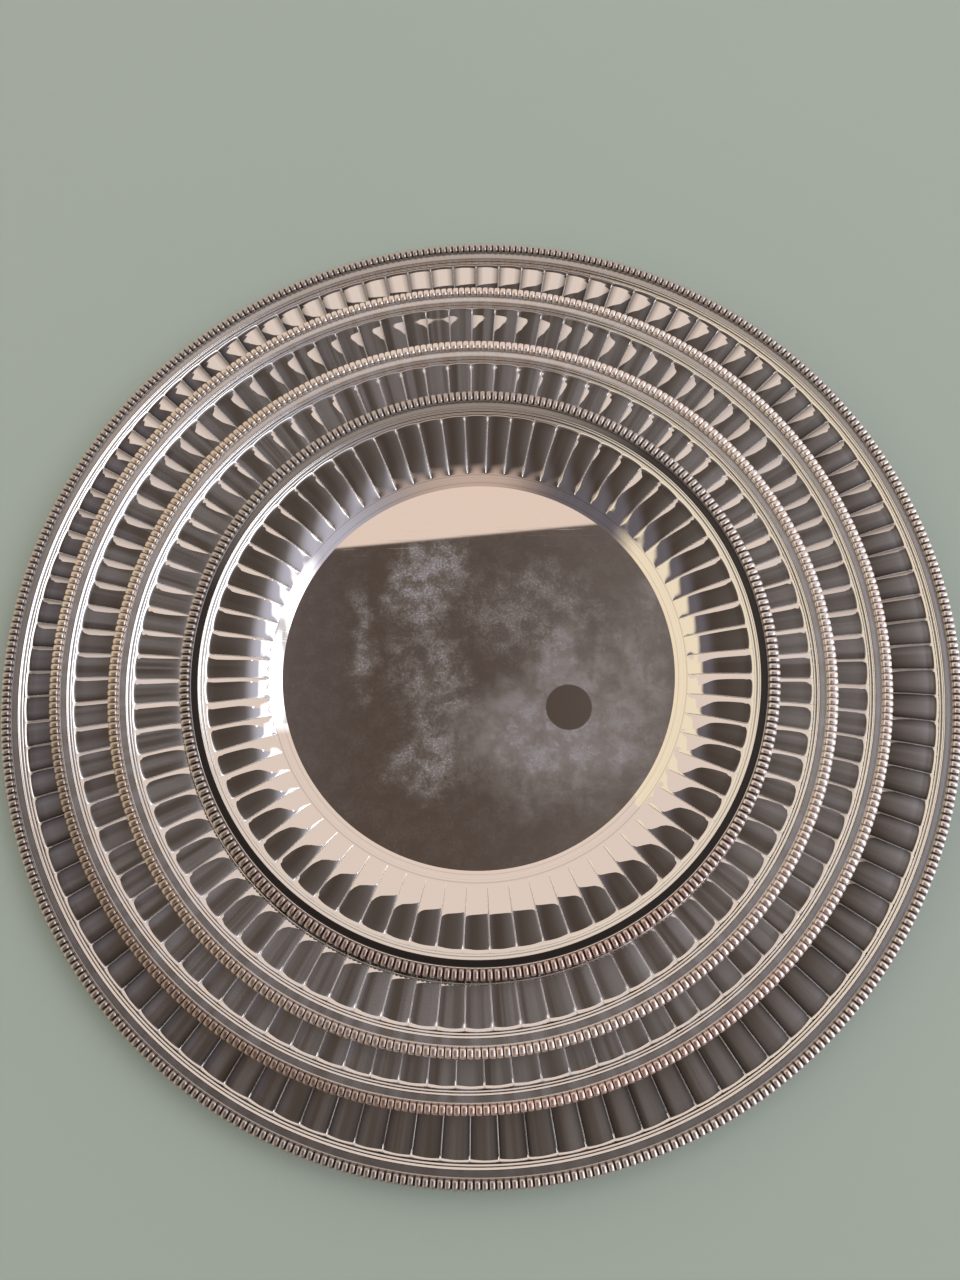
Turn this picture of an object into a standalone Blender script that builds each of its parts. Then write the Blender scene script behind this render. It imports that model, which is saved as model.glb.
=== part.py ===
"""A nested set of four graduated offering plates in silver-plated brass.

Each plate is a dish pressed from sheet, with a border of radial lobes, and a half-round
wire soldered round its rim. Every plate rests on the flat well of the next
larger one. Metres, +Z up; the origin is under the middle of the largest plate.
"""

import math

import bmesh
import bpy

# The set
BOTTOM_RADIUS = 0.1270  # of each plate, over its border wire
LOWER_RADIUS = 0.1109
UPPER_RADIUS = 0.0953
TOP_RADIUS = 0.0781
REST_GAP = 0.0003  # between a plate's base and the well that it rests on
LOWER_SHIFT = (-0.0022, 0.0001)  # how far a plate lies off the centre of the one beneath it
UPPER_SHIFT = (0.0010, -0.0031)
TOP_SHIFT = (0.0022, 0.0003)

# Sheet and border wire
SHEET = 0.0012  # thickness, straight down
WIRE_WIDTH = 0.0026
WIRE_HEIGHT = 0.0015
SOLDER_GAP = 0.0001  # between the wire and its seat
EDGE_SETBACK = 0.0003  # by which the wire overhangs the sheet's edge
SEAT_MARGIN = 0.0002  # flat of the seat that shows inside the wire

# Section of a dish, from the rim to the well: widths along the radius, and rises
CAVETTO_WIDTH = 0.0014
CAVETTO_RISE = 0.0018
MOULDING_WIDTH = 0.0018
MOULDING_SLOPE = 0.0005  # width of the moulding's flank on each side
MOULDING_HEIGHT = 0.0005
LEDGE_WIDTH = 0.0099
LEDGE_RISE = 0.0013
WALL_WIDTH = 0.0063
WALL_RISE = 0.0028
WELL_RING_WIDTH = 0.0032
WELL_RING_RISE = 0.0015

# Lobes
LOBE_PITCH = 0.00725  # measured at the rim
GROOVE_DEPTH = 0.0006  # of the grooves between the lobes
GROOVE_FOOT_DEPTH = 0.0003  # where a groove starts, at the well's ring
GROOVE_END = 0.0015  # length in which a groove rises to the moulding

# Facets of the round shapes
LOBES_PER_FACET = 2  # lobes along each straight side of the plain rings
CORNERS_PER_LOBE = 2  # a crown and a groove
WIRE_FACETS = 4  # over the wire's crown
SMOOTH_ANGLE = math.radians(35)


def clear_scene():
    for thing in list(bpy.data.objects):
        bpy.data.objects.remove(thing, do_unlink=True)


def new_collection(name):
    group = bpy.data.collections.new(name)
    bpy.context.scene.collection.children.link(group)
    return group


def metal(name, colour, roughness):
    material = bpy.data.materials.new(name)
    material.use_nodes = True
    shader = material.node_tree.nodes["Principled BSDF"]
    shader.inputs["Base Color"].default_value = (*colour, 1.0)
    shader.inputs["Metallic"].default_value = 1.0
    shader.inputs["Roughness"].default_value = roughness
    return material


def add_object(name, mesh, material, group, parent):
    mesh.materials.append(material)
    mesh.shade_smooth()
    mesh.set_sharp_from_angle(angle=SMOOTH_ANGLE)
    thing = bpy.data.objects.new(name, mesh)
    thing.parent = parent
    group.objects.link(thing)
    return thing


def seat_height():
    """Height of the wire's seat, over the underside of the dish's base."""
    return SHEET + WELL_RING_RISE + WALL_RISE + LEDGE_RISE + CAVETTO_RISE


def plain_facets(rim_radius):
    """Facets round a plate's plain rings, such that each holds whole lobes."""
    return round(math.tau * rim_radius / (LOBE_PITCH * LOBES_PER_FACET))


def dish_rings(rim_radius):
    """(radius, height, facets, groove depth) of each ring of the dish's upper face, well to rim."""
    plain = plain_facets(rim_radius)
    lobed = plain * LOBES_PER_FACET * CORNERS_PER_LOBE
    edge = rim_radius - EDGE_SETBACK
    seat = rim_radius - WIRE_WIDTH - SEAT_MARGIN
    moulding_out = seat - CAVETTO_WIDTH
    moulding_in = moulding_out - MOULDING_WIDTH
    wall_top = moulding_in - LEDGE_WIDTH
    wall_foot = wall_top - WALL_WIDTH
    well = wall_foot - WELL_RING_WIDTH

    foot_height = SHEET + WELL_RING_RISE
    ledge_height = foot_height + WALL_RISE
    moulding_height = ledge_height + LEDGE_RISE
    groove_end_height = moulding_height - LEDGE_RISE * GROOVE_END / LEDGE_WIDTH
    crest_height = moulding_height + MOULDING_HEIGHT
    return [
        (well, SHEET, plain, 0.0),
        (wall_foot, foot_height, lobed, GROOVE_FOOT_DEPTH),
        (wall_top, ledge_height, lobed, GROOVE_DEPTH),
        (moulding_in - GROOVE_END, groove_end_height, lobed, GROOVE_DEPTH),
        (moulding_in, moulding_height, plain, 0.0),
        (moulding_in + MOULDING_SLOPE, crest_height, plain, 0.0),
        (moulding_out - MOULDING_SLOPE, crest_height, plain, 0.0),
        (moulding_out, moulding_height, plain, 0.0),
        (seat, seat_height(), plain, 0.0),
        (edge, seat_height(), plain, 0.0),
    ]


def add_ring(bm, radius, height, facets, groove):
    """Corners of a circle, every second one sunk by the groove depth."""
    corners = bmesh.ops.create_circle(bm, segments=facets, radius=radius)["verts"]
    for place, corner in enumerate(corners):
        corner.co.z = height - groove * (place % 2)
    return corners


def loft(bm, inner, outer):
    """Faces between two rings of unlike numbers of corners, stepping on the ring that lags behind."""
    i = j = 0
    while i < len(inner) or j < len(outer):
        here, across = inner[i % len(inner)], outer[j % len(outer)]
        if (i + 1) * len(outer) <= (j + 1) * len(inner):
            i += 1
            following = inner[i % len(inner)]
        else:
            j += 1
            following = outer[j % len(outer)]
        bm.faces.new((here, across, following))


def make_dish(name, rim_radius, material, group, parent):
    """A pressed dish: its upper face lofted from the well to the rim, and extruded down by the sheet."""
    bm = bmesh.new()
    rings = [add_ring(bm, *ring) for ring in dish_rings(rim_radius)]
    for inner, outer in zip(rings, rings[1:]):
        loft(bm, inner, outer)
    bmesh.ops.contextual_create(bm, geom=rings[0])
    grown = bmesh.ops.extrude_face_region(bm, geom=bm.faces[:], use_keep_orig=True)["geom"]
    underside = [part for part in grown if isinstance(part, bmesh.types.BMVert)]
    bmesh.ops.translate(bm, verts=underside, vec=(0.0, 0.0, -SHEET))
    bmesh.ops.recalc_face_normals(bm, faces=bm.faces)
    mesh = bpy.data.meshes.new(name)
    bm.to_mesh(mesh)
    bm.free()
    return add_object(name, mesh, material, group, parent)


def make_border(name, rim_radius, material, group, parent):
    """A half-round wire, turned to a ring on its seat on the dish's rim."""
    half_width = WIRE_WIDTH / 2
    foot = seat_height() + SOLDER_GAP
    section = []
    for step in range(WIRE_FACETS + 1):
        angle = math.pi * (1 - step / WIRE_FACETS)
        across = rim_radius - half_width + half_width * math.cos(angle)
        section.append((across, 0.0, foot + WIRE_HEIGHT * math.sin(angle)))
    count = len(section)
    mesh = bpy.data.meshes.new(name)
    mesh.from_pydata(section, [(i, (i + 1) % count) for i in range(count)], [])
    border = add_object(name, mesh, material, group, parent)
    turn = border.modifiers.new("Ring", "SCREW")
    turn.axis = "Z"
    turn.angle = math.tau
    turn.steps = turn.render_steps = plain_facets(rim_radius)
    turn.use_merge_vertices = True
    turn.merge_threshold = 0.00001
    turn.use_smooth_shade = True
    return border


def make_plate(name, rim_radius, place, carrier, materials, group):
    """One plate on an empty at the middle of its base; returns the empty."""
    axis = bpy.data.objects.new(name + "_plate", None)
    axis.location = place
    axis.parent = carrier
    group.objects.link(axis)
    dish_metal, wire_metal = materials
    make_dish(name + "_dish", rim_radius, dish_metal, group, axis)
    make_border(name + "_border", rim_radius, wire_metal, group, axis)
    return axis


def main():
    clear_scene()
    group = new_collection("nested_offering_plates")
    materials = (
        metal("silver_plate", (0.80, 0.77, 0.73), 0.12),
        metal("worn_silver_plate", (0.74, 0.66, 0.58), 0.25),
    )
    plates = {
        "bottom": (BOTTOM_RADIUS, (0.0, 0.0)),
        "lower": (LOWER_RADIUS, LOWER_SHIFT),
        "upper": (UPPER_RADIUS, UPPER_SHIFT),
        "top": (TOP_RADIUS, TOP_SHIFT),
    }
    carrier = None
    for name, (rim_radius, shift) in plates.items():
        rise = SHEET + REST_GAP if carrier else 0.0
        carrier = make_plate(name, rim_radius, (*shift, rise), carrier, materials, group)


main()
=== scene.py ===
"""Looks of a nested set of four graduated silver-plated offering plates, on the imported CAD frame."""
from math import radians, tau

import bpy
import numpy as np
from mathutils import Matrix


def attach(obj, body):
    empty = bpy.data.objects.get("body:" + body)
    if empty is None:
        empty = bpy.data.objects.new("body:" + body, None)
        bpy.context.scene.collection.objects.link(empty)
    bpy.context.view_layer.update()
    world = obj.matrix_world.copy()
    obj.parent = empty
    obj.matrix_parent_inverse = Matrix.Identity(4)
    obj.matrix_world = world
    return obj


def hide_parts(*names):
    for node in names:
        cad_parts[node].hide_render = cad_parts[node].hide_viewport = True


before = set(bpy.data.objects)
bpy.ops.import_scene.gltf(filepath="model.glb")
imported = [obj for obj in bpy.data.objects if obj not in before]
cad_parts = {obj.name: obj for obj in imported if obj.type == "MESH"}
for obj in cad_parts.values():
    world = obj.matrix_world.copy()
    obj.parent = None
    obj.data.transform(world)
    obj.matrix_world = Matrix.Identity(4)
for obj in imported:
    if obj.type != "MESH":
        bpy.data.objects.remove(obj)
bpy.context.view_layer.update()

MM = 0.001

# The plates, from the bottom of the nest. Shapes, in mm: rim radius, centre, width from the rim to the lobes,
# number of lobes, how far they are turned, in lobes, height of their crowns, radius of their outer corners,
# slope of the ledge as a whole and at its outer end, number of reeds, half width of a reed, in reeds
SHAPES = (
    "radius", "centre", "band", "lobes", "turn", "crown", "corner", "ledge", "ledge_end", "reeds", "bar",
)
PLATES = {
    "bottom": (127.0, (0.0, 0.0, 0.0), 5.75, 110, -0.09, 0.16, 1.0, 0.135, 0.09, 455, 0.33),
    "lower": (110.9, (-2.2, 0.1, 1.5), 5.65, 96, 0.25, 0.21, 1.1, 0.147, 0.149, 397, 0.39),
    "upper": (95.3, (-1.2, -3.0, 3.0), 6.05, 82, -0.08, 0.22, 1.9, 0.150, 0.145, 338, 0.39),
    "top": (78.1, (1.0, -2.7, 4.5), 6.50, 68, 0.02, 0.22, 1.3, 0.150, 0.140, 280, 0.32),
}

# Wear and painted light on the plates: darkening in the channel beside the reeds, how much less of it the far
# side has, painted dark reflection along the lobes' sides, haze on the lobes, grime and painted shade between
# the reeds, dullness of the reeds with painted shade away from the right, painted reflections golden at the
# left and red on the near side, and darkening between the two
WEAR_AND_PAINTED_LIGHT = ("channel_dark", "far_lighter", "side_reflection", "haze", "grime_and_shade", "dull_and_shade", "gold", "red", "near_left_dark")
WORN_AND_PAINTED = {
    "bottom": (0.42, 0.25, 0.75, 0.10, 1.0, 0.52, 0.25, 0.1, 0.1),
    "lower": (0.28, 0.75, 0.30, 0.18, 0.70, 0.0, 0.6, 0.6, 0.6),
    "upper": (0.22, 0.90, 0.0, 0.20, 0.60, 0.0, 0.7, 0.3, 0.35),
    "top": (0.90, 0.50, 0.0, 0.03, 1.0, 0.50, 0.25, 0.7, 0.0),
}

# Haze on the top plate's well, in mm from the middle of the set: centre, half widths, strength
FLAKES = [
    ((-12.6, 22.0), (9.0, 12.0), 1.0),
    ((-12.0, -4.0), (9.0, 20.0), 0.65),
    ((-14.0, -27.0), (10.0, 9.0), 0.8),
    ((-28.8, 4.0), (5.0, 13.0), 0.75),
    ((17.0, 14.0), (20.0, 13.0), 0.45),
]
SMEARS = [
    ((22.0, -21.0), (26.0, 18.0), 0.78),
    ((25.0, -3.0), (15.0, 11.0), 0.60),
    ((46.0, 2.0), (9.0, 18.0), 0.50),
    ((2.0, -21.0), (13.0, 10.0), 0.40),
]
THIN_HAZE = 0.05
RAGGEDNESS = 24.0  # by which the patches' outlines wander
CLEAN_SPOT = (0.0253, -0.0134, 0.0057)  # in metres, as its radius and edge
CLEAN_RADIUS = (0.0059, 0.0063)

# Colours of the metal, of what lies on it, and of painted shade and painted reflections on it
SILVER = (0.86, 0.83, 0.79, 1.0)
WELL_SILVER = (0.90, 0.82, 0.74, 1.0)
HAZE = (0.66, 0.70, 0.86, 1.0)
TURNED = (0.42, 0.32, 0.29, 1.0)
# Dark colour for painted shade between the rolls, for a painted dark reflection along the lobes' sides and
# for the channel's darkening
HOLLOW_DARK = (0.03, 0.024, 0.022, 1.0)
REED_SILVER = (0.93, 0.86, 0.83, 1.0)
REED_WORN = (0.88, 0.70, 0.62, 1.0)
# Painted reflections on the reeds: golden at the left, red on the near side
REED_GOLD_REFLECTION = (0.62, 0.51, 0.39, 1.0)
REED_RED_REFLECTION = (0.76, 0.50, 0.43, 1.0)
# A duller tone of the reeds, and painted shade on them away from the right
REED_DULL_AND_SHADE = (0.19, 0.18, 0.18, 1.0)
# Reeds darker towards the near left
REED_NEAR_LEFT_DARK = (0.17, 0.13, 0.10, 1.0)
# Grime and painted shade in the gaps between the reeds
GRIME_AND_SHADE = (0.04, 0.03, 0.026, 1.0)

# Roughness
POLISH = 0.012
HAZE_ROUGHNESS = 0.03
SCRATCH_ROUGHNESS = 0.05
DULL_ROUGHNESS = 0.42
REED_ROUGHNESS = 0.27
SPECKLE_ROUGHNESS = 0.12

# Crown line of a dish, in mm: distance in from the rim, height over the underside, slope
SHEET = 1.2
CROWN_LINE = [(25.4, 1.2, 0.50), (22.2, 2.85, 0.52), (15.9, 5.5, 0.24)]
WELL = 25.4
WALL_FOOT = 22.2
SEAT_HEIGHT = 8.6
EDGE = 0.3

# Bevel of fine rolls and channel, between the lobes and the reeds, on a band of this width
BAND = 6.0
BEVEL_IN = (5.62, 7.26)
BEVEL_OUT = (4.48, 8.20)
BEVEL_SLOPE = 0.80  # on which it goes on down between the lobes
BEVEL_FILLET = 0.24
ROLLS = 2
ROLL_PARTS = (0.04, 0.18, 0.36, 0.5, 0.64, 0.82, 0.96)
ROLL_HEIGHT = 0.11
ROLL_PAINTED_SHADE = 0.6  # painted shade in the creases between the rolls
CHANNEL = [(4.41, 8.41), (4.34, 8.42), (3.60, 8.45), (3.00, 8.48), (2.82, 8.50), (2.74, 8.57)]

# Rows of points over the lobes, as distances in from the rim
RING_ROWS = [25.4, 24.6, 23.8, 23.0, 22.45, 22.3]
LOBE_ROWS = [22.2, 22.05, 21.85, 21.6, 21.2, 20.6, 19.8, 18.8, 17.8, 16.8, 15.8, 14.8, 13.6, 12.4, 11.2]
END_ROWS = [3.5, 2.7, 2.1, 1.6, 1.25, 0.95, 0.65, 0.43, 0.25, 0.1, 0.0]  # from a lobe's outer end
UNDER_ROWS = [7.5, 8.6, 10.6, 13.0, 15.6, 17.8, 19.8, 21.6, 22.2, 22.45, 24.0, 25.4]

# Lobes, in mm
LOBE_FOOT_CROWN = 0.15  # height of a lobe's crown over its sides at the wall's foot
LOBE_FULLNESS = 2.5  # power of the fall from the crown to the sides
FOOT_FADE = 1.5  # over which the lobes run out at the wall's foot
GROOVE_DEPTH = 0.14
GROOVE_WIDTH = 0.12  # from a groove's bottom to a lobe's side
CORNER_FALL = 0.35  # slope down into the corners between the lobes' ends
LEAN = 0.010  # by which the slopes of hand-finished lobes differ
LOBE_COLUMNS = np.array([-1.0, -0.96, -0.92, -0.72, -0.36, 0.0, 0.36, 0.72, 0.92, 0.96])
# Painted dark reflection along each lobe's sides, by column
SIDE_DARK_REFLECTION = [0.0, 0.7, 1.0, 0.5, 0.0, 0.0, 0.0, 0.5, 1.0, 0.7]

LIGHTER_SIDE = radians(108)  # the far side, where the channel is less darkened
LIGHTER_FROM = 0.55  # as a cosine from there
LIGHTER_BLUR = 0.3
CHANNEL_DULLNESS = 0.7
SHARP_ANGLE = radians(48)

# Reeds of the border wire, in mm
REED_INNER = 2.70  # on the band's width
REED_OUTER = 0.02
REED_GAP = 0.32  # by which the gaps stop short of the reeds' tips
REED_HEIGHT = 1.2
REED_GAP_HEIGHT = 0.6
REED_LIFT = np.array([0.0, 0.08, 0.72, 0.95, 1.0, 0.95, 0.72, 0.08])
REED_SECTION = 12
REED_SQUARENESS = 0.62


def ledge_height(plate):
    """Height of the lobes' outer ends over the underside."""
    start, height, _ = CROWN_LINE[-1]
    return height + plate["ledge"] * (start - plate["band"])


def crown_height(distance, plate):
    """Height of the crown line over the underside, at a distance in from the rim."""
    knots = CROWN_LINE + [(plate["band"], ledge_height(plate), plate["ledge_end"])]
    for (from_s, from_z, from_slope), (to_s, to_z, to_slope) in zip(knots, knots[1:]):
        if distance >= to_s - 1e-9:
            run = from_s - to_s
            t = (from_s - distance) / run
            blend = t * t * (3 - 2 * t)
            rise = from_z + (to_z - from_z) * blend
            return rise + run * (from_slope * t * (1 - t)**2 - to_slope * t * t * (1 - t))
    return ledge_height(plate)


def bevel_and_channel():
    """Fine rolls up a bevel from the lobes, and the channel beside the reeds, on the plain band."""
    run = BEVEL_IN[0] - BEVEL_OUT[0]
    rise = BEVEL_OUT[1] - BEVEL_IN[1]
    length = np.hypot(run, rise)
    line = []
    for roll in range(ROLLS):
        for part in ROLL_PARTS:
            along = (roll + part) / ROLLS
            swell = ROLL_HEIGHT * np.sin(np.pi * part)**0.7
            distance = BEVEL_IN[0] - run * along + swell * rise / length
            line.append((distance, BEVEL_IN[1] + rise * along + swell * run / length))
    return line + CHANNEL


def rim_and_edge():
    """The seat under the reeds, the sheet's edge and the underside of the rim."""
    line = [(2.55, 8.60), (0.6, 8.60), (0.38, 8.54), (EDGE, 8.40), (EDGE, 7.60), (0.38, 7.46), (0.6, 7.40)]
    return line + [(2.4, 7.40), (2.75, 7.25), (3.3, 7.15), (4.1, 7.15), (4.5, 6.95), (5.3, 6.35), (5.9, 5.92)]


def dish_line(plate):
    """Section from the well's edge over the rim and back under it to the base's edge."""
    stretch = plate["band"] / BAND
    rows = RING_ROWS + LOBE_ROWS + [plate["band"] + row for row in END_ROWS]
    line = [(s, crown_height(s, plate)) for s in rows]
    line += [(s * stretch, z) for s, z in bevel_and_channel() + rim_and_edge()]
    line += [(s, crown_height(s, plate) - SHEET) for s in UNDER_ROWS]
    return line


def lobe_drop(distance, across, half, lean, plate):
    """How far the surface lies under the crown line, at a distance in from the rim and across a lobe."""
    outer = plate["band"]
    if not outer - 1e-6 < distance < WALL_FOOT + 1e-6:
        return np.zeros_like(across)
    along = (distance - outer) / (WALL_FOOT - outer)
    crown = plate["crown"] + (LOBE_FOOT_CROWN - plate["crown"]) * along**2
    side = half * (1 - np.abs(across))
    end = distance - outer + GROOVE_WIDTH
    corner = plate["corner"]
    inside = corner - np.hypot(np.maximum(corner - side, 0.0), max(corner - end, 0.0))
    groove = np.clip(1 - side / GROOVE_WIDTH, 0.0, 1.0)
    fade = min((WALL_FOOT - distance) / FOOT_FADE, 1.0)
    swell = crown * np.abs(across)**LOBE_FULLNESS + lean * half * across * (1 - groove)
    return (swell + GROOVE_DEPTH * groove) * fade + CORNER_FALL * np.maximum(GROOVE_WIDTH - inside, 0.0)


def lobed_height(distance, height, drop, plate):
    """The lobes, with the bevel going on down between their outer ends."""
    if not plate["band"] - 1e-6 < distance < plate["band"] + 1.5:
        return height - drop
    wedge = ledge_height(plate) - BEVEL_SLOPE * (distance - plate["band"])
    lobes = height - drop
    return (lobes + wedge + np.sqrt((lobes - wedge)**2 + BEVEL_FILLET**2)) / 2


def add_mesh(name, points, faces, sharp_edges, values):
    """A smooth mesh object with named values per point for its material."""
    mesh = bpy.data.meshes.new(name)
    mesh.from_pydata(points.tolist(), [], faces)
    mesh.shade_smooth()
    mesh.set_sharp_from_angle(angle=SHARP_ANGLE)
    ends = np.empty(len(mesh.edges) * 2, np.int32)
    mesh.edges.foreach_get("vertices", ends)
    sharp = np.empty(len(mesh.edges), bool)
    mesh.attributes["sharp_edge"].data.foreach_get("value", sharp)
    sharp |= sharp_edges(ends.reshape(-1, 2))
    mesh.attributes["sharp_edge"].data.foreach_set("value", sharp)
    for key, value in values.items():
        mesh.attributes.new(key, "FLOAT", "POINT").data.foreach_set("value", value.astype(np.float32))
    mesh.validate()
    obj = bpy.data.objects.new(name, mesh)
    bpy.context.scene.collection.objects.link(obj)
    return obj


def ring_faces(rings, columns, closed):
    """Quads between neighbouring rings of points, facing out."""
    faces = []
    for ring in range(rings if closed else rings - 1):
        here = ring * columns
        above = (ring + 1) % rings * columns
        for column in range(columns):
            after = (column + 1) % columns
            faces.append((above + column, above + after, here + after, here + column))
    return faces


def make_dish(name, plate, seed):
    """The pressed dish with its lobes, mouldings and flat well."""
    random = np.random.default_rng(seed)
    count = len(LOBE_COLUMNS)
    columns = plate["lobes"] * count
    across = np.tile(LOBE_COLUMNS, plate["lobes"])
    lean = np.repeat(random.normal(0.0, LEAN, plate["lobes"]), count)
    lobe = np.repeat(np.arange(plate["lobes"]), count) + plate["turn"]
    angles = (lobe + across / 2) * tau / plate["lobes"]
    line = dish_line(plate)
    channel = [place * plate["band"] / BAND for place in (CHANNEL[1][0], CHANNEL[-1][0])]
    # The channel beside the reeds is darkened, less so towards the far side
    far_lighter = np.clip((np.cos(angles - LIGHTER_SIDE) - LIGHTER_FROM) / LIGHTER_BLUR, 0.0, 1.0)
    channel_dark = plate["channel_dark"] * (1 - plate["far_lighter"] * far_lighter)
    side_reflection = plate["side_reflection"] * np.tile(SIDE_DARK_REFLECTION, plate["lobes"])
    top_rows = len(line) - len(UNDER_ROWS) - len(rim_and_edge())
    bevel = len(RING_ROWS) + len(LOBE_ROWS) + len(END_ROWS)
    roll_ends = [bevel + roll * len(ROLL_PARTS) for roll in range(1, ROLLS)]
    points = []
    values = {"hollow": [], "dull_and_shade": [], "turned": [], "flat": []}
    for row, (distance, height) in enumerate(line):
        radius = plate["radius"] - distance
        half = radius * tau / plate["lobes"] / 2
        z = np.full(columns, height)
        dark = np.zeros(columns)
        dull_and_shade = np.zeros(columns)
        on_top = row < top_rows
        if on_top and distance > plate["band"] - 1e-6:
            drop = lobe_drop(distance, across, half, lean, plate)
            z = lobed_height(distance, height, drop, plate)
        # painted dark reflection along the lobes' sides
        if on_top and plate["band"] + 0.3 < distance < WALL_FOOT - 1.0:
            dark = side_reflection
        if on_top and plate["band"] - 0.01 < distance < WALL_FOOT - 0.5:
            dull_and_shade = np.where(np.abs(across) > 0.95, 1 - plate["side_reflection"], 0.0)
            dull_and_shade[across == -1.0] = 1.0
        # painted shade in the creases between the rolls
        if row in roll_ends or row + 1 in roll_ends:
            dark = np.full(columns, ROLL_PAINTED_SHADE)
        # darkening in the channel beside the reeds
        if on_top and channel[1] <= distance <= channel[0]:
            dark = channel_dark
            dull_and_shade = np.full(columns, CHANNEL_DULLNESS)
        turned = on_top and WALL_FOOT <= distance < WELL
        points.append(np.stack([radius * np.cos(angles), radius * np.sin(angles), z], 1))
        values["hollow"].append(dark)
        values["dull_and_shade"].append(dull_and_shade)
        values["turned"].append(np.full(columns, float(turned)))
        values["flat"].append(np.full(columns, float(distance == WELL)))
    values = {key: np.concatenate(rows) for key, rows in values.items()}
    points = (np.concatenate(points) + np.array(plate["centre"])) * MM
    faces = ring_faces(len(line), columns, closed=False)
    last = (len(line) - 1) * columns
    faces.append(tuple(range(columns)))
    faces.append(tuple(range(last + columns - 1, last - 1, -1)))
    creases = [0, len(RING_ROWS) - 1, len(line) - 1]
    upper = [distance for distance, _ in line[:bevel]]
    lobed = [row for row, distance in enumerate(upper) if plate["band"] + 1 < distance < WALL_FOOT - 1]

    def sharp_edges(ends):
        rings = ends // columns
        column = ends % columns
        ringwise = (rings[:, 0] == rings[:, 1]) & np.isin(rings[:, 0], creases)
        grooves = np.isin(column[:, 0] % count, [0, 1, count - 1]) & (column[:, 0] == column[:, 1])
        return ringwise | (grooves & np.isin(rings, lobed).all(1))

    return add_mesh(name, points, faces, sharp_edges, values)


def make_border(name, plate):
    """The reeded half-round wire round the rim."""
    reeds = plate["reeds"]
    bar = plate["bar"]
    spread = np.array([-0.5, -bar - 0.045, -bar, -0.56 * bar, 0.0, 0.56 * bar, bar, bar + 0.045])
    columns = reeds * len(spread)
    lift = np.tile(REED_LIFT, reeds)
    angles = (np.repeat(np.arange(reeds), len(spread)) + np.tile(spread, reeds)) * tau / reeds
    inner = REED_INNER * plate["band"] / BAND
    middle = plate["radius"] - (inner + REED_OUTER) / 2
    half = (inner - REED_OUTER) / 2 - REED_GAP * (1 - lift)
    crown = REED_GAP_HEIGHT + (REED_HEIGHT - REED_GAP_HEIGHT) * lift
    points = []
    for turn in np.linspace(0.0, np.pi, REED_SECTION):
        swing = np.sign(np.cos(turn)) * np.abs(np.cos(turn))**REED_SQUARENESS
        rise = np.sin(turn)**REED_SQUARENESS
        radius = middle + half * swing
        z = SEAT_HEIGHT + 0.02 + crown * rise
        points.append(np.stack([radius * np.cos(angles), radius * np.sin(angles), z], 1))
    points = (np.concatenate(points) + np.array(plate["centre"])) * MM
    faces = ring_faces(REED_SECTION, columns, closed=True)
    values = {"gap": np.tile(1 - lift, REED_SECTION)}
    return add_mesh(name, points, faces, lambda ends: np.zeros(len(ends), bool), values)


class Graph:
    """Short words for building a node tree."""

    def __init__(self, tree):
        self.tree = tree

    def add(self, kind, **settings):
        node = self.tree.nodes.new(kind)
        for key, value in settings.items():
            setattr(node, key, value)
        return node

    def put(self, socket, value):
        if isinstance(value, bpy.types.NodeSocket):
            self.tree.links.new(value, socket)
        else:
            socket.default_value = value

    def math(self, operation, first, second=0.0):
        node = self.add("ShaderNodeMath", operation=operation)
        self.put(node.inputs[0], first)
        self.put(node.inputs[1], second)
        return node.outputs[0]

    def times(self, first, second):
        return self.math("MULTIPLY", first, second)

    def plus(self, first, second):
        return self.math("ADD", first, second)

    def smooth(self, value, low, high):
        """0 under low, 1 over high."""
        node = self.add("ShaderNodeMapRange", interpolation_type="SMOOTHSTEP")
        self.put(node.inputs["Value"], value)
        self.put(node.inputs["From Min"], low)
        self.put(node.inputs["From Max"], high)
        return node.outputs["Result"]

    def mix(self, factor, first, second):
        node = self.add("ShaderNodeMix", data_type="RGBA")
        self.put(node.inputs["Factor"], factor)
        self.put(node.inputs[6], first)
        self.put(node.inputs[7], second)
        return node.outputs[2]

    def mapped(self, vector, shift=(0.0, 0.0, 0.0), turn=0.0, scale=(1.0, 1.0, 1.0)):
        node = self.add("ShaderNodeMapping", vector_type="POINT")
        self.put(node.inputs["Vector"], vector)
        node.inputs["Location"].default_value = shift
        node.inputs["Rotation"].default_value = (0.0, 0.0, turn)
        node.inputs["Scale"].default_value = scale
        return node.outputs["Vector"]

    def noise(self, vector, scale, detail=4.0, roughness=0.55):
        node = self.add("ShaderNodeTexNoise")
        self.put(node.inputs["Vector"], vector)
        node.inputs["Scale"].default_value = scale
        node.inputs["Detail"].default_value = detail
        node.inputs["Roughness"].default_value = roughness
        return node.outputs["Fac"]

    def attribute(self, name):
        return self.add("ShaderNodeAttribute", attribute_name=name).outputs["Fac"]


def new_material(name):
    material = bpy.data.materials.new(name)
    material.use_nodes = True
    graph = Graph(material.node_tree)
    shader = material.node_tree.nodes["Principled BSDF"]
    return material, graph, shader


def colour(red, green, blue):
    """Linear colour from an sRGB one in 0 to 255."""
    values = []
    for part in (red, green, blue):
        part /= 255
        values.append(part / 12.92 if part < 0.04045 else ((part + 0.055) / 1.055)**2.4)
    return (*values, 1.0)


def scratches(graph, where):
    """Fine straight scratches in three directions."""
    total = None
    for turn, scale in ((0.1, 2600.0), (1.45, 3200.0), (2.4, 2300.0)):
        place = graph.mapped(where, turn=turn, scale=(0.02, 1.0, 0.02))
        line = graph.smooth(graph.noise(place, scale, 1.0, 0.4), 0.70, 0.78)
        total = line if total is None else graph.math("MAXIMUM", total, line)
    return total


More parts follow.
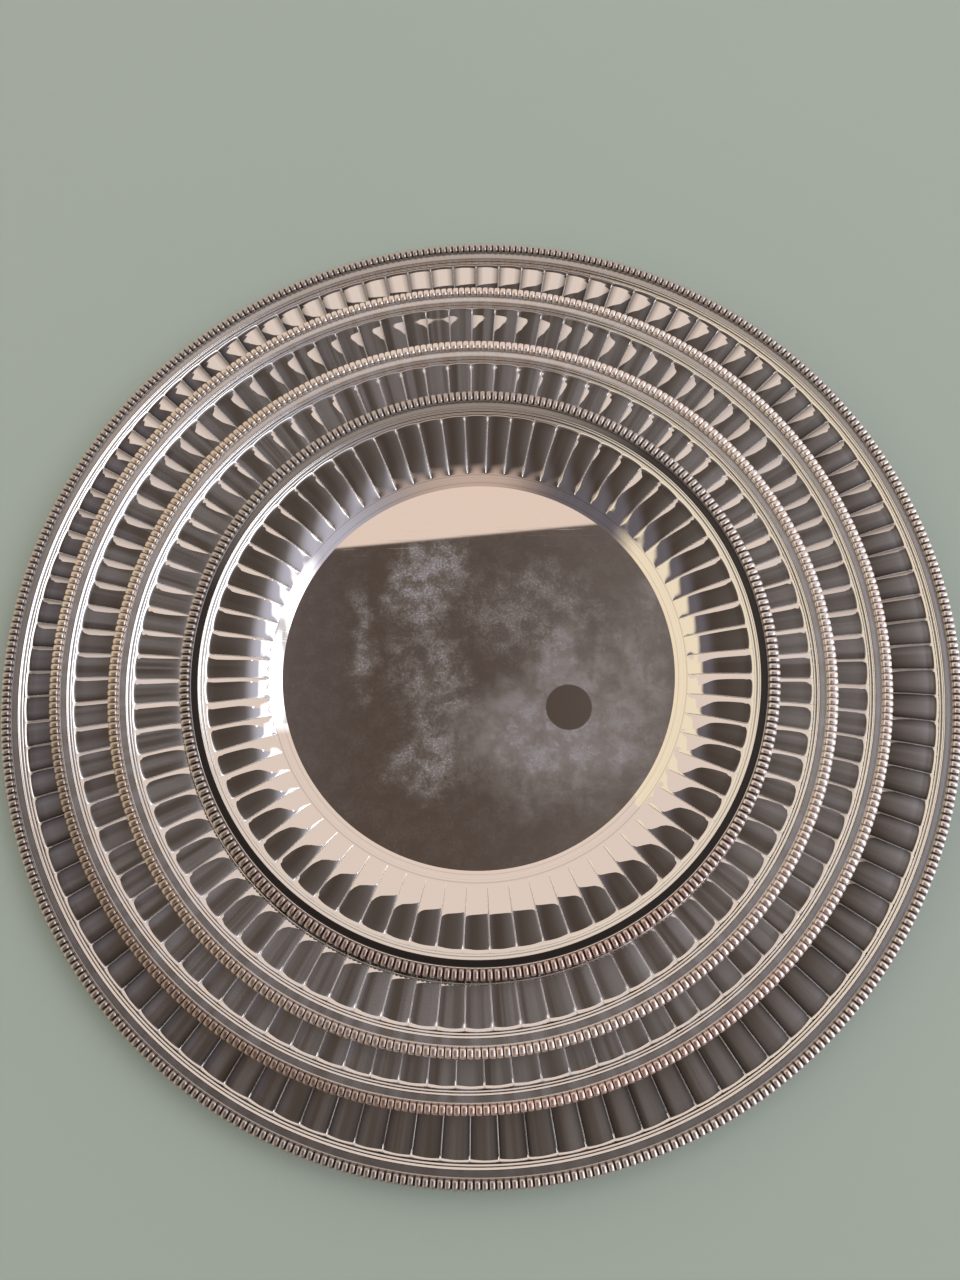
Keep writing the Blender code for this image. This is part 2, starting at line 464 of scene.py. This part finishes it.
def haze_patches(graph, place, where, patches):
    """Soft-edged patches of haze, with ragged outlines."""
    ragged = graph.add("ShaderNodeTexNoise")
    graph.put(ragged.inputs["Vector"], where)
    ragged.inputs["Scale"].default_value = 75.0
    ragged.inputs["Detail"].default_value = 5.0
    shake = graph.add("ShaderNodeVectorMath", operation="MULTIPLY_ADD")
    graph.put(shake.inputs[0], ragged.outputs["Color"])
    shake.inputs[1].default_value = (RAGGEDNESS * MM, RAGGEDNESS * MM, 0.0)
    graph.put(shake.inputs[2], place)
    total = None
    for (x, y), (wide, high), strength in patches:
        shift = ((-x - RAGGEDNESS / 2) / wide, (-y - RAGGEDNESS / 2) / high, 0.0)
        centred = graph.mapped(shake.outputs[0], shift, scale=(1 / MM / wide, 1 / MM / high, 0.0))
        length = graph.add("ShaderNodeVectorMath", operation="LENGTH")
        graph.put(length.inputs[0], centred)
        patch = graph.times(graph.smooth(length.outputs["Value"], 1.35, 0.35), strength)
        total = patch if total is None else graph.math("MAXIMUM", total, patch)
    return total


def well_haze(graph, place, where, marked):
    """Haze on a well: flaky patches and smears, and on the top plate a clean round spot."""
    flakes = graph.smooth(graph.noise(where, 210.0, 6.0, 0.72), 0.40, 0.62)
    speckle = graph.smooth(graph.noise(where, 1600.0, 3.0, 0.75), 0.42, 0.70)
    flaky = graph.plus(0.25, graph.times(flakes, 0.75))
    film = graph.times(flaky, graph.plus(0.45, graph.times(speckle, 0.75)))
    if not marked:
        return graph.times(film, graph.smooth(graph.noise(where, 42.0, 5.0), 0.4, 0.7))
    film = graph.times(film, graph.plus(0.10, haze_patches(graph, place, where, FLAKES)))
    wiped = graph.noise(graph.mapped(where, turn=0.6, scale=(1.0, 0.25, 1.0)), 110.0, 4.0, 0.55)
    smear = graph.math("SUBTRACT", 1.0, graph.times(graph.smooth(wiped, 0.50, 0.62), 0.55))
    mottle = graph.plus(graph.times(flakes, 0.4), graph.times(speckle, 0.15))
    smear = graph.times(smear, graph.plus(0.45, mottle))
    film = graph.plus(film, graph.times(smear, haze_patches(graph, place, where, SMEARS)))
    film = graph.plus(film, THIN_HAZE)
    spot = graph.add("ShaderNodeVectorMath", operation="DISTANCE")
    graph.put(spot.inputs[0], place)
    spot.inputs[1].default_value = CLEAN_SPOT
    return graph.times(film, graph.smooth(spot.outputs["Value"], *CLEAN_RADIUS))


def turning_lines(graph, place, centre):
    """Fine rings round a plate's middle."""
    out = graph.add("ShaderNodeVectorMath", operation="DISTANCE")
    graph.put(out.inputs[0], graph.mapped(place, scale=(1.0, 1.0, 0.0)))
    out.inputs[1].default_value = (centre[0] * MM, centre[1] * MM, 0.0)
    noise = graph.add("ShaderNodeTexNoise", noise_dimensions="1D")
    graph.put(noise.inputs["W"], out.outputs["Value"])
    noise.inputs["Scale"].default_value = 2600.0
    noise.inputs["Detail"].default_value = 2.0
    return graph.smooth(noise.outputs["Fac"], 0.50, 0.68)


def lobe_streaks(graph, place, plate):
    """Streaks out from a plate's middle, one or two to a lobe."""
    x, y, _ = plate["centre"]
    split = graph.add("ShaderNodeSeparateXYZ")
    graph.put(split.inputs[0], graph.mapped(place, shift=(-x * MM, -y * MM, 0.0)))
    noise = graph.add("ShaderNodeTexNoise", noise_dimensions="1D")
    graph.put(noise.inputs["W"], graph.math("ARCTAN2", split.outputs[1], split.outputs[0]))
    noise.inputs["Scale"].default_value = plate["lobes"] / 4
    noise.inputs["Detail"].default_value = 3.0
    return graph.smooth(noise.outputs["Fac"], 0.36, 0.66)


def silver_material(name, shift, plate, marked):
    """Polished silver plate with haze on the well and fine scratches, darkened in the hollows: painted shade
    between the rolls, a painted dark reflection along the lobes' sides and darkening in the channel.
    """
    material, graph, shader = new_material(name)
    place = graph.add("ShaderNodeTexCoord").outputs["Object"]
    where = graph.mapped(place, shift=shift)
    film = well_haze(graph, place, where, marked)
    flat = graph.attribute("flat")
    streak = graph.plus(0.3, graph.times(lobe_streaks(graph, place, plate), 1.5))
    haze = graph.add("ShaderNodeMix", data_type="FLOAT")
    graph.put(haze.inputs["Factor"], flat)
    graph.put(haze.inputs["A"], graph.times(streak, plate["haze"]))
    graph.put(haze.inputs["B"], film)
    haze = haze.outputs[0]
    lines = scratches(graph, where)
    hollow = graph.attribute("hollow")
    rings = graph.times(turning_lines(graph, place, plate["centre"]), graph.attribute("turned"))
    clean = graph.mix(flat, SILVER, WELL_SILVER)
    clean = graph.mix(graph.times(haze, 0.7), clean, HAZE)
    clean = graph.mix(graph.times(rings, 0.4), clean, TURNED)
    # painted shade, painted dark reflection and channel darkening, from the hollow values
    body = graph.mix(hollow, clean, HOLLOW_DARK)
    graph.put(shader.inputs["Base Color"], body)
    marks = graph.plus(graph.times(haze, HAZE_ROUGHNESS), graph.times(lines, SCRATCH_ROUGHNESS))
    dull_and_shade = graph.times(graph.attribute("dull_and_shade"), DULL_ROUGHNESS)
    rough = graph.math("MAXIMUM", graph.plus(POLISH, marks), dull_and_shade)
    graph.put(shader.inputs["Roughness"], rough)
    graph.put(shader.inputs["Metallic"], graph.math("SUBTRACT", 1.0, graph.times(haze, 0.36)))
    return material


def border_material(name, shift, plate):
    """Worn silver plate on the reeds, with warmer metal showing through in patches, painted reflections
    golden at the left and red on the near side, painted shade away from the right and in the gaps, darkening
    at the near left, and grime in the gaps.
    """
    material, graph, shader = new_material(name)
    place = graph.add("ShaderNodeTexCoord").outputs["Object"]
    where = graph.mapped(place, shift=shift)
    split = graph.add("ShaderNodeSeparateXYZ")
    graph.put(split.inputs[0], place)
    reach = plate["radius"] * MM
    left = graph.smooth(split.outputs[0], -0.25 * reach, -0.85 * reach)
    near = graph.smooth(split.outputs[1], -0.35 * reach, -0.90 * reach)
    worn = graph.smooth(graph.noise(where, 28.0, 3.0, 0.6), 0.42, 0.66)
    speckle = graph.noise(where, 900.0, 3.0, 0.6)
    gap = graph.attribute("gap")
    # a duller tone over all the reeds, with painted shade added away from the right
    rightwards = graph.math("SUBTRACT", split.outputs[0], graph.times(split.outputs[1], 0.47))
    away = graph.smooth(rightwards, 0.9 * reach, 0.35 * reach)
    dull_and_shade = graph.times(graph.plus(0.3, graph.times(away, 0.7)), plate["dull_and_shade"])
    # darker towards the near left
    nearest_left = graph.plus(split.outputs[0], split.outputs[1])
    near_left_dark = graph.smooth(nearest_left, -0.9 * reach, -1.3 * reach)
    bare = graph.mix(graph.times(worn, 0.3), REED_SILVER, REED_WORN)
    # painted reflections: golden at the left, red on the near side
    bare = graph.mix(graph.times(left, plate["gold"]), bare, REED_GOLD_REFLECTION)
    bare = graph.mix(graph.times(near, plate["red"]), bare, REED_RED_REFLECTION)
    bare = graph.mix(dull_and_shade, bare, REED_DULL_AND_SHADE)
    bare = graph.mix(graph.times(near_left_dark, plate["near_left_dark"]), bare, REED_NEAR_LEFT_DARK)
    # grime and painted shade in the gaps, fully darkened by painted shade on the near side
    grime_and_shade = graph.math("MAXIMUM", graph.times(gap, plate["grime_and_shade"]), near)
    body = graph.mix(graph.times(gap, grime_and_shade), bare, GRIME_AND_SHADE)
    graph.put(shader.inputs["Base Color"], body)
    rough = graph.plus(REED_ROUGHNESS, graph.times(speckle, SPECKLE_ROUGHNESS))
    graph.put(shader.inputs["Roughness"], rough)
    shader.inputs["Metallic"].default_value = 1.0
    return material


def floor_material():
    material, graph, shader = new_material("floor")
    where = graph.add("ShaderNodeTexCoord").outputs["Object"]
    cloud = graph.noise(where, 3.0, 4.0, 0.5)
    graph.put(shader.inputs["Base Color"], graph.mix(cloud, colour(152, 165, 157), colour(159, 171, 163)))
    shader.inputs["Roughness"].default_value = 0.55
    return material


# Soft panels round the set, in degrees from straight up: colour, rightwards from and to, away from and to,
# and blur of the edges. A later panel covers an earlier one.
PANELS = [
    ((0.62, 0.47, 0.40), -99, 99, -99, -27, 4.0),
    ((0.16, 0.12, 0.095), -99, 99, -99, -42, 5.0),
    ((0.14, 0.125, 0.145), -99, -17, -45, 99, 9.0),
    ((0.97, 0.84, 0.64), -99, -34, -60, 99, 2.5),
    ((0.29, 0.27, 0.275), 18, 99, -45, 99, 26.0),
    ((0.58, 0.57, 0.68), 22, 99, -46, 40, 12.0),
    ((0.83, 0.70, 0.625), -38, 99, 21.0, 99, 0.10),
    ((2.80, 2.85, 3.00), 34, 62, -46, 25, 2.5),
    ((0.75, 0.75, 0.78), 37.6, 38.6, -46, 25, 0.4),
    ((3.00, 3.00, 3.00), 23.6, 25.4, 20.0, 21.8, 0.3),
]
ZENITH = (0.068, 0.050, 0.041)
HORIZON = (0.70, 0.68, 0.65)
HORIZON_HEIGHT = (0.02, 0.40)  # over which it gives way to the panels
SLANT = 0.075  # rise of the panels' near and far edges per degree rightwards

# Camera, in metres, and its focal length in pixels of the photo's height
CAMERA_PLACE = (0.0099, -0.0522, 0.2356)
CAMERA_TURN = (radians(13.99), radians(2.032), 0.0)
FOCAL_LENGTH = 875
IMAGE_HEIGHT = 1280
SENSOR_HEIGHT = 36.0


def make_world():
    """A dim top and bright soft panels round it, all by direction."""
    world = bpy.data.worlds.new("studio")
    world.use_nodes = True
    bpy.context.scene.world = world
    graph = Graph(world.node_tree)
    direction = graph.add("ShaderNodeTexCoord").outputs["Generated"]
    split = graph.add("ShaderNodeSeparateXYZ")
    graph.put(split.inputs[0], direction)
    x, y, z = split.outputs
    across = graph.math("DEGREES", graph.math("ARCTAN2", x, z))
    away = graph.math("DEGREES", graph.math("ARCTAN2", y, z))
    away = graph.math("SUBTRACT", away, graph.times(across, SLANT))
    light = (*ZENITH, 1.0)
    for tint, left, right, near, far, blur in PANELS:
        mask = graph.smooth(across, left - blur, left + blur)
        for value, edge, rising in ((across, right, False), (away, near, True), (away, far, False)):
            side = graph.smooth(value, edge - blur, edge + blur)
            if not rising:
                side = graph.math("SUBTRACT", 1.0, side)
            mask = graph.times(mask, side)
        light = graph.mix(mask, light, (*tint, 1.0))
    light = graph.mix(graph.smooth(z, *HORIZON_HEIGHT), (*HORIZON, 1.0), light)
    graph.put(world.node_tree.nodes["Background"].inputs["Color"], light)


def make_stage():
    """Pale floor, one broad soft lamp, and the camera over the near side of the set."""
    reach = 3.0
    corners = [(-reach, -reach, 0), (reach, -reach, 0), (reach, reach, 0), (-reach, reach, 0)]
    mesh = bpy.data.meshes.new("floor")
    mesh.from_pydata(corners, [], [(0, 1, 2, 3)])
    floor = bpy.data.objects.new("floor", mesh)
    bpy.context.scene.collection.objects.link(floor)
    floor.data.materials.append(floor_material())
    lamp = bpy.data.lights.new("soft_lamp", "AREA")
    lamp.shape = "DISK"
    lamp.size = 1.6
    lamp.energy = 12.0
    holder = bpy.data.objects.new("soft_lamp", lamp)
    holder.location = (0.5, 0.6, 1.6)
    holder.rotation_euler = (radians(-20), radians(17), 0)
    holder.visible_glossy = False
    bpy.context.scene.collection.objects.link(holder)
    lens = bpy.data.cameras.new("camera")
    lens.sensor_fit = "VERTICAL"
    lens.sensor_height = SENSOR_HEIGHT
    lens.lens = SENSOR_HEIGHT * FOCAL_LENGTH / IMAGE_HEIGHT
    lens.clip_start = 0.01
    camera = bpy.data.objects.new("camera", lens)
    camera.location = CAMERA_PLACE
    camera.rotation_euler = CAMERA_TURN
    bpy.context.scene.collection.objects.link(camera)
    bpy.context.scene.camera = camera


make_stage()
make_world()
for number, name in enumerate(PLATES):
    plate = dict(zip(SHAPES + WEAR_AND_PAINTED_LIGHT, PLATES[name] + WORN_AND_PAINTED[name]))
    shift = (0.31 * number, 0.17 * number, 0.0)
    dish = make_dish(name + "_dish_pressed", plate, number)
    dish.data.materials.append(silver_material(name + "_silver", shift, plate, marked=name == "top"))
    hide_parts(name + "_dish")
    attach(dish, name + "_plate")
    border = make_border(name + "_border_reeded", plate)
    border.data.materials.append(border_material(name + "_worn_silver_and_painted_light", shift, plate))
    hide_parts(name + "_border")
    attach(border, name + "_plate")

bpy.context.scene.view_settings.view_transform = "Standard"
